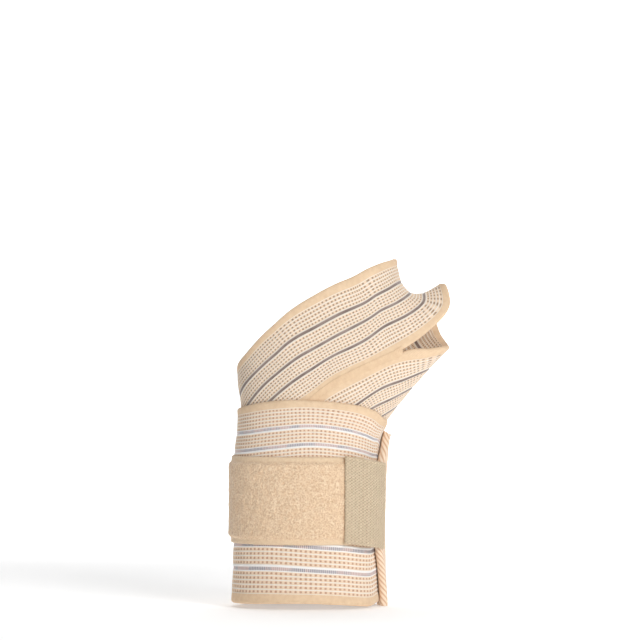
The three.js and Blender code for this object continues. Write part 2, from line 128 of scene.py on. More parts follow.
# Net and detail of the weave
NET_CUTS = 3  # steps of the mesh in each hole of the net, along and across
NET_DEPTH = 0.4
HOLE_EDGE = (0.2, 0.48)  # where a hole's slope ends and begins, off its middle, in steps
HOLE_SHADE = (0.15, 0.31)  # and where its colour does
SELVAGE_BLUR = 0.06  # half of the way over which the selvage's colour passes into the net's
COUNT_STEP = 0.5  # degrees between the turns at which a band's holes are counted
UNEVENNESS = 0.12  # of a band's face, in height
WANDER = 0.22  # of its threads to either side
UNDER_COLUMNS = 9  # of the mesh of each under face
LATTICE = 64  # random values each way, after which the noise repeats
PITCH_TURNS = (150, 400)  # between which turns the pitch passes from the strap's to the cuff's
UPPER_PITCHES = (1.8, 2.0)  # from one hole to the next along the upper band, on strap and cuff
LOWER_PITCHES = (1.65, 2.4)
UPPER_HIDDEN = (240, 370)  # the turns of the upper band that later layers cover
LOWER_HIDDEN = (105, 375)
SQUARE_TURNS = (-75, -45, 150, 300)  # the net turns square to the band and back within these
CUFF_HOLES = (112.0, 142.0)  # where along a band, in holes, its stripes and holes turn paler
STRIP_TICKS = 2.4  # ribs of a grip strip in the length of one hole

# Relief of the closure's pieces
PAD_MESH = (330, 112)  # rows along it and columns across
PILE_HEIGHT = PAD_THICKNESS - PAD_RIM_THICKNESS - 0.1  # above the rims, on average
PAD_FUZZ = [(2.6, 0.34, 22), (1.1, 0.3, 23), (0.55, 0.26, 24)]  # size, height, seed
PAD_RIM_WAVER = 0.5
PAD_CORNER = 0.5
TAB_MESH = (150, 190)
TAB_CORNER = 0.6
TAB_ROWS = 2.1  # from one row of small dents to the next but one
TAB_TICKS = 1.45  # and from one dent of a row to the next
TAB_DENT = 0.14  # depth of the dents
TAB_SEAM = 1.7  # of the stitching's furrow in from the tab's edge
TAB_SEAM_WIDTH = 0.35
TAB_SEAM_DEPTH = 0.22
BINDING_ROWS = 260
BINDING_LEG = 18  # columns on each leg
BINDING_ARC = 14  # and round the fold
BINDING_OVERHANG = 0.4  # past the flap, above and below
BINDING_RIB = 1.5
BINDING_SLANT = (0.62, 0.5)  # how much of a rib's rise lies round the fold and along it
BINDING_RIB_HEIGHT = 0.16

# Stage, in metres
FLOOR = -0.0006
FLOOR_FRONT = -2.0
FLOOR_SIDE = 3.0
WALL = 2.6
WALL_HEIGHT = 3.0
SWEEP = 0.6  # radius of the bend from floor to wall
GLOW_REACH = (0.3, 0.8)  # where the floor's own glow grows towards the wall
GLOW = (0.3, 0.9)  # its strength before and past that stretch
LIGHTS = [
    # name, place, size, power
    ("key", (0.68, -1.14, 0.65), 0.5, 11),
    ("fill", (-0.9, -0.9, 0.4), 0.8, 0.5),
    ("top", (0.0, 0.3, 1.3), 0.8, 4),
]
LIGHTS_TARGET = (0.01, 0.0, 0.08)
ROOM_LIGHT = 0.2
IMAGE_SIZE = 640
PIXEL = 0.00049  # metres to a pixel at the cuff's axis
AXIS_COLUMN = 309  # the pixel column of the cuff's axis
BASE_ROW = 605  # the pixel row of the cuff's lower opening
CAMERA_DISTANCE = 1.8
SENSOR = 36  # millimetres, the camera's width
MM = 0.001  # in metres

# Sections of the form: bands and rise give the height, the others are half sizes, as shares.
FORM_SECTIONS = [
    # bands, rise, radial, flare, ulnar, dorsal, palmar
    (0, 0, 0.985, 0, 1.08, 1.1, 1.14),
    (0.37, 0, 0.95, 0, 1.05, 1.08, 1.12),
    (1, 0, 0.97, 0, 1.035, 1.04, 1.06),
    (1.49, 0, 0.99, 0, 1.03, 0.99, 1.01),
    (1.76, 0, 1.035, 0.02, 0.985, 0.96, 0.99),
    (2, 0, 1.1, 0.22, 0.985, 0.95, 1.02),
    (2, 0.15, 1.1, 0.45, 1.035, 0.95, 1.06),
    (2, 0.28, 1.1, 0.68, 1.05, 0.94, 1.08),
    (2, 0.42, 1.1, 0.95, 1.09, 0.93, 1.06),
    (2, 0.6, 1.1, 0.66, 1.15, 0.9, 1),
    (2, 0.7, 1.1, 0.5, 1.2, 0.88, 0.96),
    (2, 0.9, 1.1, 0.28, 1.26, 0.85, 0.92),
    (2, 1.05, 1.1, 0.24, 1.28, 0.82, 0.9),
]

# The line between the two bands, by its height, and the heights that the two bands take up.
# sink moves the stripes towards that line and crowd towards the middle of their band.
WINDING_SECTIONS = [
    # turn, bands, rise, upper, lower, sink, crowd
    (0, 2, 0.419, 0.84, 0.761, 0, -0.9),
    (15, 2, 0.415, 0.84, 0.84, 0, -0.3),
    (30, 2, 0.403, 0.84, 0.98, 0, 0.2),
    (45, 2, 0.388, 0.825, 1.15, 0, 0.6),
    (60, 2, 0.283, 0.88, 1.22, -0.012, 0.7),
    (75, 2, 0.162, 0.962, 1.23, 0, 0.5),
    (90, 2, 0.03, 1.02, 1.2, 0.015, 0.25),
    (120, 1.8, 0.01, 0.97, 1.15, 0.012, 0.05),
    (150, 1.55, 0, 0.98, 1.12, 0, 0),
    (180, 1.306, 0, 1.08, 1.1, 0, 0),
    (225, 1.22, 0, 0.98, 1.1, 0, 0),
    (270, 1.163, 0, 0.857, 1.09, 0, 0),
    (315, 1.12, 0, 0.735, 1.075, 0, 0),
    (360, 1.102, 0, 0.7, 1.07, 0, 0),
    (374, 1.11, 0, 0.77, 1.08, 0, 0),
    (386, 1.11, 0, 0.795, 1.1, 0, 0),
    (400, 1.125, 0, 0.835, 1.11, 0, 0),
    (420, 1.155, 0, 0.86, 1.12, 0, 0),
    (450, 1.175, 0, 0.88, 1.12, 0.004, 0),
    (480, 1.16, 0, 0.89, 1.11, 0.03, 0),
    (510, 1.14, 0, 0.865, 1.105, 0.038, 0),
    (540, 1.128, 0, 0.838, 1.1, 0.03, 0),
    (600, 1.11, 0, 0.805, 1.09, 0, 0),
    (660, 1.1, 0, 0.755, 1.085, 0, 0),
    (720, 1.082, 0, 0.704, 1.076, 0, 0),
    (750, 1.071, 0, 0.696, 1.07, 0, 0),
]

# How far the flap's end lies past FLAP_TURN, in degrees, by the share of the flap's height.
FLAP_END = [
    (0, -21), (0.07, -20), (0.14, -17), (0.23, -10), (0.33, -2), (0.45, 3),
    (0.65, 3), (0.75, 0.5), (0.82, -4), (0.88, -11), (0.94, -18), (1, -24),
]

# The thumb loop: the inner edge's place, the way from it to the outer edge, and the middle's
# way off the straight line between them, as shares of the sizes that loop_rails names.
WHERE_BANDS_MEET = (FIRST_TURN, 0.899, 0.82, 0.586, -0.89, 0.15, -0.07, -0.04, 0.09, -0.06)
UPPER_LOOP = [
    # turn, x, y, z, across x, y, z, sag x, y, z
    (35, 0.82, -0.57, 0.505, -0.46, 0.04, 0.69, -0.065, -0.04, -0.05),
    (16, 0.985, -0.33, 0.68, -0.6, 0.03, 0.47, -0.125, -0.03, -0.13),
    (0, 0.965, 0.03, 0.843, -0.52, 0.01, 0.25, -0.106, 0.02, -0.23),
    (-20, 0.914, 0.46, 0.785, -0.54, -0.02, 0.21, -0.05, 0.04, -0.18),
    (-46, 0.892, 0.73, 0.686, -0.7, 0.04, 0.13, -0.05, 0.08, -0.14),
    WHERE_BANDS_MEET,
]
LOWER_LOOP = [
    WHERE_BANDS_MEET,
    (-50, 0.928, 0.73, 0.5, -0.86, 0.18, -0.43, 0, 0.1, 0),
    (-25, 0.971, 0.43, 0.436, -0.74, 0.15, -0.64, 0.02, 0.06, 0.01),
]


def smoothstep(x, low, high):
    """0 below low and 1 above high, smooth between."""
    t = np.clip((x - low) / (high - low), 0, 1)
    return t * t * (3 - 2 * t)


def curve(xs, ys):
    """A smooth curve through points, flat past its ends."""
    xs = np.asarray(xs, float)
    ys = np.asarray(ys, float)
    before = np.maximum(np.arange(len(xs)) - 1, 0)
    after = np.minimum(np.arange(len(xs)) + 1, len(xs) - 1)
    slopes = ((ys[after] - ys[before]).T / (xs[after] - xs[before])).T

    def at(x):
        x = np.clip(x, xs[0], xs[-1])
        i = np.clip(np.searchsorted(xs, x, side="right") - 1, 0, len(xs) - 2)
        span = xs[i + 1] - xs[i]
        t = (x - xs[i]) / span
        rest = 1 - t
        if ys.ndim > 1:
            span, t, rest = span[:, None], t[:, None], rest[:, None]
        value = rest * rest * (1 + 2 * t) * ys[i] + t * t * (3 - 2 * t) * ys[i + 1]
        return value + t * rest * span * (rest * slopes[i] - t * slopes[i + 1])

    return at


def height_of(bands, rise):
    return BAND_WIDTH * bands + HAND_RISE * rise


form_at = curve([height_of(r[0], r[1]) for r in FORM_SECTIONS], [r[2:] for r in FORM_SECTIONS])
winding_at = curve(
    [r[0] for r in WINDING_SECTIONS],
    [(height_of(r[1], r[2]), *r[3:]) for r in WINDING_SECTIONS],
)
past_at = curve([r[0] for r in FLAP_END], [r[1] for r in FLAP_END])


def form_point(turn, z):
    """Points of the form's surface."""
    angle = np.radians(turn)
    cos = np.cos(angle)
    sin = np.sin(angle)
    radial, flare, ulnar, dorsal, palmar = form_at(z).T
    thumb_side = WRIST_BREADTH / 2 * radial
    thumb_side = thumb_side + (THUMB_REACH - thumb_side) * flare
    finger_side = WRIST_BREADTH / 2 * ulnar
    half_x = finger_side + (thumb_side - finger_side) * smoothstep(cos, -SIDE_BLEND, SIDE_BLEND)
    half_y = WRIST_DEPTH / 2 * np.where(sin > 0, dorsal, palmar)
    return np.stack([half_x * cos, -half_y * sin, z], axis=1)


def normal_of(surface, a, b, step_a, step_b):
    """The unit normals of a surface given by a function of two numbers."""
    along_a = surface(a + step_a, b) - surface(a - step_a, b)
    along_b = surface(a, b + step_b) - surface(a, b - step_b)
    normal = np.cross(along_a, along_b)
    return normal / np.linalg.norm(normal, axis=1, keepdims=True)


def off_form(turn, z, distance):
    """Points that stand off the form, square to it."""
    out = normal_of(form_point, turn, z, 1, 0.5)
    return form_point(turn, z) - out * np.reshape(distance, (-1, 1))


def winding_offset(turn):
    """How far a band's inner face stands off the form: one layer more each time round."""
    lift = smoothstep(turn, LIFT_TURN, LIFTED_TURN)
    return LAYER_PITCH * (turn - FIRST_TURN) / FULL_TURN + FLAP_LIFT * lift


def edge_heights(turn):
    """The cuff's lower edge, the two edges at the line between the bands, and the upper edge."""
    line, upper, lower = winding_at(turn)[:, :3].T
    half = SEAM_GAP / 2
    return line - half - BAND_WIDTH * lower, line - half, line + half, line + half + BAND_WIDTH * upper


def slanted_turn(turn, z):
    """The turn, stretched or shortened so that the last one runs along the flap's curved end."""
    bottom, _, _, top = edge_heights(turn)
    past = past_at((z - bottom) / (top - bottom))
    return turn + past * np.maximum(turn - LIFT_TURN, 0) / (FLAP_TURN - LIFT_TURN)


def on_form(turn, across, side):
    """Points of a band's inner face where it follows the form. side is 1 for the upper band."""
    bottom, lower_top, upper_bottom, top = edge_heights(turn)
    if side > 0:
        z = upper_bottom + across * (top - upper_bottom)
    else:
        z = lower_top + across * (bottom - lower_top)
    return off_form(slanted_turn(turn, z), z, winding_offset(turn))


def loop_rails(row):
    """The thumb loop's points at 0, 0.5 and 1 across, for one table row."""
    inner = np.array([THUMB_REACH * row[1], WRIST_DEPTH / 2 * row[2], CUFF_HEIGHT + HAND_RISE * row[3]])
    across = BAND_WIDTH * np.array(row[4:7])
    sag = BAND_WIDTH * np.array(row[7:10])
    return [inner, inner + across / 2 + sag, inner + across]


def band_surface(rows, side, start):
    """A band's inner face: its thumb loop, melting into the form's shape past the turn start."""
    stations = [(row[0], loop_rails(row)) for row in rows]
    for turn in (start, start + LOOP_MELT / 2, start + LOOP_MELT):
        turns = np.full(3, float(turn))
        stations.append((turn, list(on_form(turns, np.array([0, 0.5, 1]), side))))
    stations.sort(key=lambda station: station[0])
    turns = [station[0] for station in stations]
    rails = [curve(turns, [station[1][rail] for station in stations]) for rail in range(3)]

    def at(turn, across):
        sink, crowd = winding_at(turn)[:, 3:].T
        across = across - across * (1 - across) * (4 * sink + crowd * (across - 0.5))
        weights = [
            2 * (across - 0.5) * (across - 1),
            4 * across * (1 - across),
            2 * across * (across - 0.5),
        ]
        loop = sum(weight[:, None] * rail(turn) for weight, rail in zip(weights, rails))
        share = smoothstep(turn, start, start + LOOP_MELT)[:, None]
        return loop + (on_form(turn, across, side) - loop) * share

    return at


upper_surface = band_surface(UPPER_LOOP, 1, LOOP_TURN)
lower_surface = band_surface(LOWER_LOOP, -1, 0)


def above_surface(surface, turn, across, height, side):
    """Points at a height above a band's inner face."""
    out = normal_of(surface, turn, across, 1, 0.01)
    return surface(turn, across) - out * np.reshape(side * height, (-1, 1))


def make_mesh(name, points, faces, uvs=None):
    """A smooth mesh object in metres from points in millimetres.

    faces is a list of arrays of quads or triangles, and uvs a map called weave.
    """
    mesh = bpy.data.meshes.new(name)
    corners = np.concatenate([np.asarray(part, np.int32).ravel() for part in faces])
    sizes = np.concatenate([np.full(len(part), np.shape(part)[1]) for part in faces])
    starts = np.concatenate([[0], np.cumsum(sizes)[:-1]])
    mesh.vertices.add(len(points))
    mesh.vertices.foreach_set("co", (np.asarray(points) * MM).ravel())
    mesh.loops.add(len(corners))
    mesh.loops.foreach_set("vertex_index", corners)
    mesh.polygons.add(len(sizes))
    mesh.polygons.foreach_set("loop_start", starts.astype(np.int32))
    mesh.polygons.foreach_set("use_smooth", np.ones(len(sizes), bool))
    if uvs is not None:
        layer = mesh.uv_layers.new(name="weave")
        layer.data.foreach_set("uv", np.asarray(uvs)[corners].ravel())
    mesh.update(calc_edges=True)
    piece = bpy.data.objects.new(name, mesh)
    bpy.context.scene.collection.objects.link(piece)
    return piece


def tube_faces(rings, top_count, bottom_count, flip):
    """The faces of a closed strip of rings, each of a top row and a bottom row run backwards."""
    count = top_count + bottom_count
    step = np.arange(rings - 1)[:, None] * count
    here = (step + np.arange(count)).ravel()
    beside = (step + np.roll(np.arange(count), -1)).ravel()
    quads = np.stack([here, here + count, beside + count, beside], axis=1)
    last = (rings - 1) * count
    ends = []
    low = count - 1
    for i in range(top_count - 1):
        low_next = count - 1 - round((i + 1) * (bottom_count - 1) / (top_count - 1))
        ends.append([i, i + 1, low])
        ends.append([last + i, last + low, last + i + 1])
        if low_next != low:
            ends.append([i + 1, low_next, low])
            ends.append([last + i + 1, last + low, last + low_next])
        low = low_next
    ends = np.array(ends)
    if flip:
        return [quads[:, ::-1], ends[:, ::-1]]
    return [quads, ends]


def value_noise(x, y, seed):
    """Smooth noise from 0 to 1, with one random value at each whole step of x and y."""
    lattice = np.random.default_rng(seed).random((LATTICE, LATTICE))
    xi = np.floor(x).astype(int)
    yi = np.floor(y).astype(int)
    fx = x - xi
    fy = y - yi
    fx = fx * fx * (3 - 2 * fx)
    fy = fy * fy * (3 - 2 * fy)
    x0, x1 = xi % LATTICE, (xi + 1) % LATTICE
    y0, y1 = yi % LATTICE, (yi + 1) % LATTICE
    low = lattice[x0, y0] * (1 - fx) + lattice[x1, y0] * fx
    high = lattice[x0, y1] * (1 - fx) + lattice[x1, y1] * fx
    return low * (1 - fy) + high * fy


def weave_columns():
    """Columns across a band: place in the pattern, way across, and height."""
    columns = []
    for at, height in SELVAGE_RELIEF:
        columns.append((at / SELVAGE_WIDTH * SELVAGE_STEPS, at, height))
    step = SELVAGE_STEPS
    place = SELVAGE_WIDTH
    stripe_starts = [BAND_WIDTH / 2 + k * STRIPE_PITCH - STRIPE_WIDTH / 2 for k in (-1, 0, 1)]
    stops = stripe_starts + [BAND_WIDTH - SELVAGE_WIDTH]
    for panel, rows in enumerate(ROWS):
        width = stops[panel] - place
        for k in range(rows * NET_CUTS):
            share = k / (rows * NET_CUTS)
            bulge = PANEL_SHOULDER + (PANEL_RISE - PANEL_SHOULDER) * math.sin(math.pi * share)
            columns.append((step + k / NET_CUTS, place + share * width, BAND_THICKNESS + bulge))
        step += rows
        place += width
        if panel < STRIPES:
            for share, height in STRIPE_RELIEF:
                columns.append((step + share, place + share * STRIPE_WIDTH, BAND_THICKNESS + height))
            step += 1
            place += STRIPE_WIDTH
    columns.append((step, place, BAND_THICKNESS + PANEL_SHOULDER))
    for at, height in reversed(SELVAGE_RELIEF):
        across = at / SELVAGE_WIDTH * SELVAGE_STEPS
        columns.append((PATTERN_STEPS - across, BAND_WIDTH - at, height))
    return np.array(columns)


def strip_stations(surface, side, pitches, hidden_turns):
    """Turns along a band, the holes counted up to them, and the band's length.

    The steps are finer where the band shows.
    """
    turns = np.arange(FIRST_TURN + END_GAP_TURN, FLAP_TURN + COUNT_STEP, COUNT_STEP)
    turns[-1] = FLAP_TURN
    middle = above_surface(surface, turns, np.full(len(turns), 0.5), np.full(len(turns), 1.0), side)
    lengths = lengths_of(middle)
    pitch = pitches[0] + (pitches[1] - pitches[0]) * smoothstep(turns, *PITCH_TURNS)
    holes = np.concatenate([[0], np.cumsum(np.diff(lengths) / pitch[1:])])
    hidden = np.interp(hidden_turns, turns, holes)
    stations = []
    at = 0.0
    while at < holes[-1]:
        stations.append(at)
        at += 1 if hidden[0] < at < hidden[1] else 1 / NET_CUTS
    stations.append(holes[-1])
    return np.interp(stations, holes, turns), np.array(stations), lengths[-1]


def square_turns(surface, turns, places):
    """Turns at each place across a band, so that the net's columns run square to its stripes."""
    start, straight, level, end = SQUARE_TURNS
    grid = np.empty((len(turns), len(places)))
    middle = int(np.argmin(np.abs(places - BAND_WIDTH / 2)))
    grid[:, middle] = turns
    for way in (1, -1):
        at = turns.copy()
        for j in range(middle, len(places) - 1 if way > 0 else 0, way):
            step = (places[j + way] - places[j]) / BAND_WIDTH
            across = np.full(len(turns), (places[j + way] + places[j]) / 2 / BAND_WIDTH)
            along = surface(at + 0.5, across) - surface(at - 0.5, across)
            over = (surface(at, across + 0.01) - surface(at, across - 0.01)) / 0.02
            lean = -np.sum(along * over, axis=1) / np.sum(along * along, axis=1)
            weight = smoothstep(at, start, straight) * (1 - smoothstep(at, level, end))
            at = np.clip(at + lean * weight * step, FIRST_TURN + END_GAP_TURN, FLAP_TURN)
            grid[:, j + way] = at
    return grid


def is_net(step):
    """Whether places in the pattern lie in the net, off the selvages and the stripes."""
    off = np.abs(step - PATTERN_MIDDLE)
    stripe = (off < 0.5) | (np.abs(off - STRIPE_STEPS) < 0.5)
    return (off < PATTERN_MIDDLE - SELVAGE_STEPS) & ~stripe


def band_turns(surface, turns, places, under_places):
    """The turn of each point of a band's mesh, on its face and on its under face."""
    over = square_turns(surface, turns, places)
    under = np.stack([np.interp(at, places, row) for row in over for at in under_places])
    return np.concatenate([over, under.reshape(len(turns), len(under_places))], axis=1)


def band_heights(base, columns, cells, steps, inside):
    """Heights above a band's inner face: the profile, with holes sunk in and a little unevenness."""
    top_count = len(columns)
    on_face = np.arange(len(base)) < top_count
    in_net = on_face.copy()
    in_net[:top_count] = is_net(columns)
    around = np.hypot((cells % 1) - 0.5, (steps % 1) - 0.5)
    heights = base - NET_DEPTH * (1 - smoothstep(around, *HOLE_EDGE)) * in_net
    uneven = UNEVENNESS * (value_noise(cells / 6, steps / 3, seed=11) - 0.5)
    return heights + on_face * uneven * smoothstep(inside, 2, 5)


def build_band(name, surface, side, pitches, hidden_turns):
    """A band of the wrap: net panels with dimpled holes, corded stripes and rounded selvages."""
    columns, column_places, column_heights = weave_columns().T
    turns, holes, total = strip_stations(surface, side, pitches, hidden_turns)
    under_places = np.linspace(BAND_WIDTH, 0, UNDER_COLUMNS)
    under_columns = np.interp(under_places, column_places, columns)
    turn_grid = band_turns(surface, turns, column_places, under_places)
    places = np.broadcast_to(np.concatenate([column_places, under_places]), turn_grid.shape)
    base = np.concatenate([column_heights, np.zeros(UNDER_COLUMNS)])
    cells, steps = np.meshgrid(holes, np.concatenate([columns, under_columns]), indexing="ij")
    inside = np.minimum(places, BAND_WIDTH - places)
    heights = band_heights(base, columns, cells, steps, inside)
    wander = WANDER * (value_noise(cells / 9, steps / 5 + 7, seed=12) - 0.5) * smoothstep(inside, 0, 3)
    across = (places + wander) / BAND_WIDTH
    points = above_surface(surface, turn_grid.ravel(), across.ravel(), heights.ravel(), side)
    faces = tube_faces(len(turns), len(columns), UNDER_COLUMNS, side > 0)
    uvs = np.stack([cells.ravel(), steps.ravel()], axis=1)
    return make_mesh(name, points, faces, uvs), total


def build_seam():
    """The flat stitching that joins the two bands edge to edge, up to the flap's binding."""
    turns = np.arange(*SEAM_TURNS, SEAM_STEP)
    places = np.linspace(-SEAM_WIDTH / 2, SEAM_WIDTH / 2, SEAM_COLUMNS)
    middle = lower_surface(turns, np.zeros(len(turns)))
    lengths = lengths_of(middle)

    def point_at(turn, place, height):
        upper_way = np.maximum(place, 0) / BAND_WIDTH
        lower_way = np.maximum(-place, 0) / BAND_WIDTH
        on_upper = above_surface(upper_surface, turn, upper_way, height, 1)
        on_lower = above_surface(lower_surface, turn, lower_way, height, -1)
        share = smoothstep(place, -SEAM_BLEND, SEAM_BLEND)[:, None]
        return on_lower + (on_upper - on_lower) * share

    def height_at(along, across):
        ribs = SEAM_RIB_HEIGHT * np.sin(2 * np.pi * along / SEAM_RIB)
        return SEAM_HEIGHT + SEAM_THICKNESS + ribs * np.ones_like(across)

    return build_patch("seam_stitching", turns, places, height_at, point_at, lengths, SEAM_HEIGHT)


def soft_edge(inside, radius, height):
    """A rounded rim: the height at a distance in from an edge."""
    near = np.clip(1 - inside / radius, 0, 1)
    return height * (0.35 + 0.65 * np.sqrt(np.clip(1 - near * near, 0, 1)))


def build_patch(name, turns, places, height_at, point_at, lengths, under_height=0.0):
    """A closed pad over turns and places, with a flat under face."""
    top_count = len(places)
    under = np.linspace(places[-1], places[0], UNDER_COLUMNS)
    turn_grid, across = np.meshgrid(turns, np.concatenate([places, under]), indexing="ij")
    along = np.broadcast_to(lengths[:, None], across.shape)
    heights = np.full(across.shape, under_height)
    heights[:, :top_count] = height_at(along[:, :top_count], across[:, :top_count])
    points = point_at(turn_grid.ravel(), across.ravel(), heights.ravel())
    faces = tube_faces(len(turns), top_count, UNDER_COLUMNS, True)
    uvs = np.stack([along.ravel(), across.ravel()], axis=1)
    return make_mesh(name, points, faces, uvs)


def lengths_of(points):
    """The way along a chain of points, from its first to each."""
    return np.concatenate([[0], np.cumsum(np.linalg.norm(np.diff(points, axis=0), axis=1))])


def pad_offset(turn):
    """The pad's under face, off the form."""
    return winding_offset(turn) + PANEL_THICKNESS + PIECE_GAP


def pad_point(turn, place, height):
    return off_form(turn, PAD_HEIGHT - PAD_WIDTH / 2 + place, pad_offset(turn) + height)


def build_pad():
    """The loop tape: uneven pile between two flat woven rims."""
    rows, columns = PAD_MESH
    turns = np.linspace(*PAD_TURNS, rows)
    places = np.linspace(0, PAD_WIDTH, columns)
    lengths = lengths_of(pad_point(turns, np.full(rows, PAD_WIDTH / 2), np.ones(rows)))

    def height_at(along, across):
        inside = np.minimum(across, PAD_WIDTH - across)
        end = np.minimum(along, lengths[-1] - along)
        rim_line = PAD_RIM_WIDTH + PAD_RIM_WAVER * (value_noise(along / 1.7, across / 40, seed=21) - 0.5)
        pile = smoothstep(inside, rim_line - 0.5, rim_line + 1.1) * smoothstep(end, 0, 1.2)
        fuzz = sum(
            height * (value_noise(along / size, across / size, seed) - 0.5)
            for size, height, seed in PAD_FUZZ
        )
        flat = soft_edge(np.minimum(inside, end), PAD_CORNER, PAD_RIM_THICKNESS)
        return flat + pile * (PILE_HEIGHT + fuzz)

    piece = build_patch("loop_pad_pile", turns, places, height_at, pad_point, lengths)
    return piece, lengths[-1]


def tab_offset(turn):
    """The tab's under face, off the form: over the binding, then down on the pad."""
    over_binding = winding_offset(np.full(1, float(FLAP_TURN)))[0]
    over_binding += PANEL_THICKNESS + BINDING_THICKNESS + 2 * PIECE_GAP
    over_pad = pad_offset(turn - FULL_TURN) + PAD_THICKNESS + PIECE_GAP
    return over_binding + (over_pad - over_binding) * smoothstep(turn - FLAP_TURN, *TAB_SETTLE)


def tab_point(turn, place, height):
    drop = TAB_DROP * (TAB_TO - turn) / (TAB_TO - TAB_FROM)
    z = PAD_HEIGHT + TAB_RISE - drop - TAB_WIDTH / 2 + place
    return off_form(turn, z, tab_offset(turn) + height)


def build_tab():
    """The hook tab: stiff tape with soft rims and rows of small dents on its back."""
    rows, columns = TAB_MESH
    turns = np.linspace(TAB_FROM, TAB_TO, rows)
    places = np.linspace(0, TAB_WIDTH, columns)
    lengths = lengths_of(tab_point(turns, np.full(rows, TAB_WIDTH / 2), np.ones(rows)))

    def height_at(along, across):
        inside = np.minimum(across, TAB_WIDTH - across)
        inside = np.minimum(inside, np.minimum(along, lengths[-1] - along))
        flat = soft_edge(inside, TAB_CORNER, TAB_THICKNESS)
        dents = np.sin(2 * np.pi * along / TAB_ROWS) * np.sin(2 * np.pi * across / TAB_TICKS)
        dents = np.maximum(dents, 0) * smoothstep(inside, 0.8, 1.6)
        furrow = np.exp(-((inside - TAB_SEAM) / TAB_SEAM_WIDTH) ** 2)
        return flat - TAB_DENT * dents - TAB_SEAM_DEPTH * furrow

    piece = build_patch("hook_tab_tape", turns, places, height_at, tab_point, lengths)
    return piece, lengths[-1]


def folded(low, high, tip):
    """Points of a face folded in two: out along the lower leg, round the fold and back."""
    radius = (high - low) / 2
    leg = np.linspace(-BINDING_WIDTH, tip - radius, BINDING_LEG)
    turns = np.linspace(0, math.pi, BINDING_ARC)[1:-1]
    fold = [(tip - radius + radius * math.sin(a), (high + low) / 2 - radius * math.cos(a)) for a in turns]
    return [(along, low) for along in leg] + fold + [(along, high) for along in leg[::-1]]


def binding_ribs(girth, height, width, length):
    """The height of the slanted ribs, which fade towards the tape's edges."""
    inside = np.minimum(np.minimum(girth, width - girth), np.minimum(height, length - height))
    slant = girth * BINDING_SLANT[0] + (height - BINDING_OVERHANG) * BINDING_SLANT[1]
    return BINDING_RIB_HEIGHT * np.cos(2 * np.pi * slant / BINDING_RIB) * smoothstep(inside, 0, 1)


def build_binding():
    """The binding: a ribbed tape folded round the flap's curved end."""
    bottom, _, _, top = [edge[0] for edge in edge_heights(np.full(1, float(FLAP_TURN)))]
    low = -PIECE_GAP
    high = PANEL_THICKNESS + PIECE_GAP
    outside = folded(low - BINDING_THICKNESS, high + BINDING_THICKNESS, BINDING_FOLD)
    slot = folded(low, high, BINDING_FOLD - BINDING_THICKNESS)
    ring = np.array(outside + slot[::-1])
    around = lengths_of(np.array(outside))
    rows = np.linspace(bottom - BINDING_OVERHANG, top + BINDING_OVERHANG, BINDING_ROWS)
    length = rows[-1] - rows[0]
    z, along = np.meshgrid(rows, ring[:, 0], indexing="ij")
    height = np.broadcast_to(ring[:, 1], z.shape)
    girth = np.broadcast_to(np.concatenate([around, around[::-1]]), z.shape)
    is_outside = np.arange(len(ring)) < len(outside)
    outward = np.where(np.arange(len(ring)) < BINDING_LEG, -1, 1)
    height = height + is_outside * outward * binding_ribs(girth, z - rows[0], around[-1], length)
    end = slanted_turn(np.full(z.size, float(FLAP_TURN)), np.clip(z.ravel(), bottom, top))
    past = along.ravel() * DEGREES_PER_LENGTH
    points = off_form(end + past, z.ravel(), winding_offset(FLAP_TURN + past) + height.ravel())
    faces = tube_faces(BINDING_ROWS, len(outside), len(slot), True)
    uvs = np.stack([girth.ravel(), z.ravel()], axis=1)
    return make_mesh("end_binding_tape", points, faces, uvs), around[-1], length


def linear(red, green, blue):
    """A colour for a socket from its values out of 255."""
    values = [c / 255 for c in (red, green, blue)]
    return [c / 12.92 if c <= 0.04045 else ((c + 0.055) / 1.055) ** 2.4 for c in values] + [1]


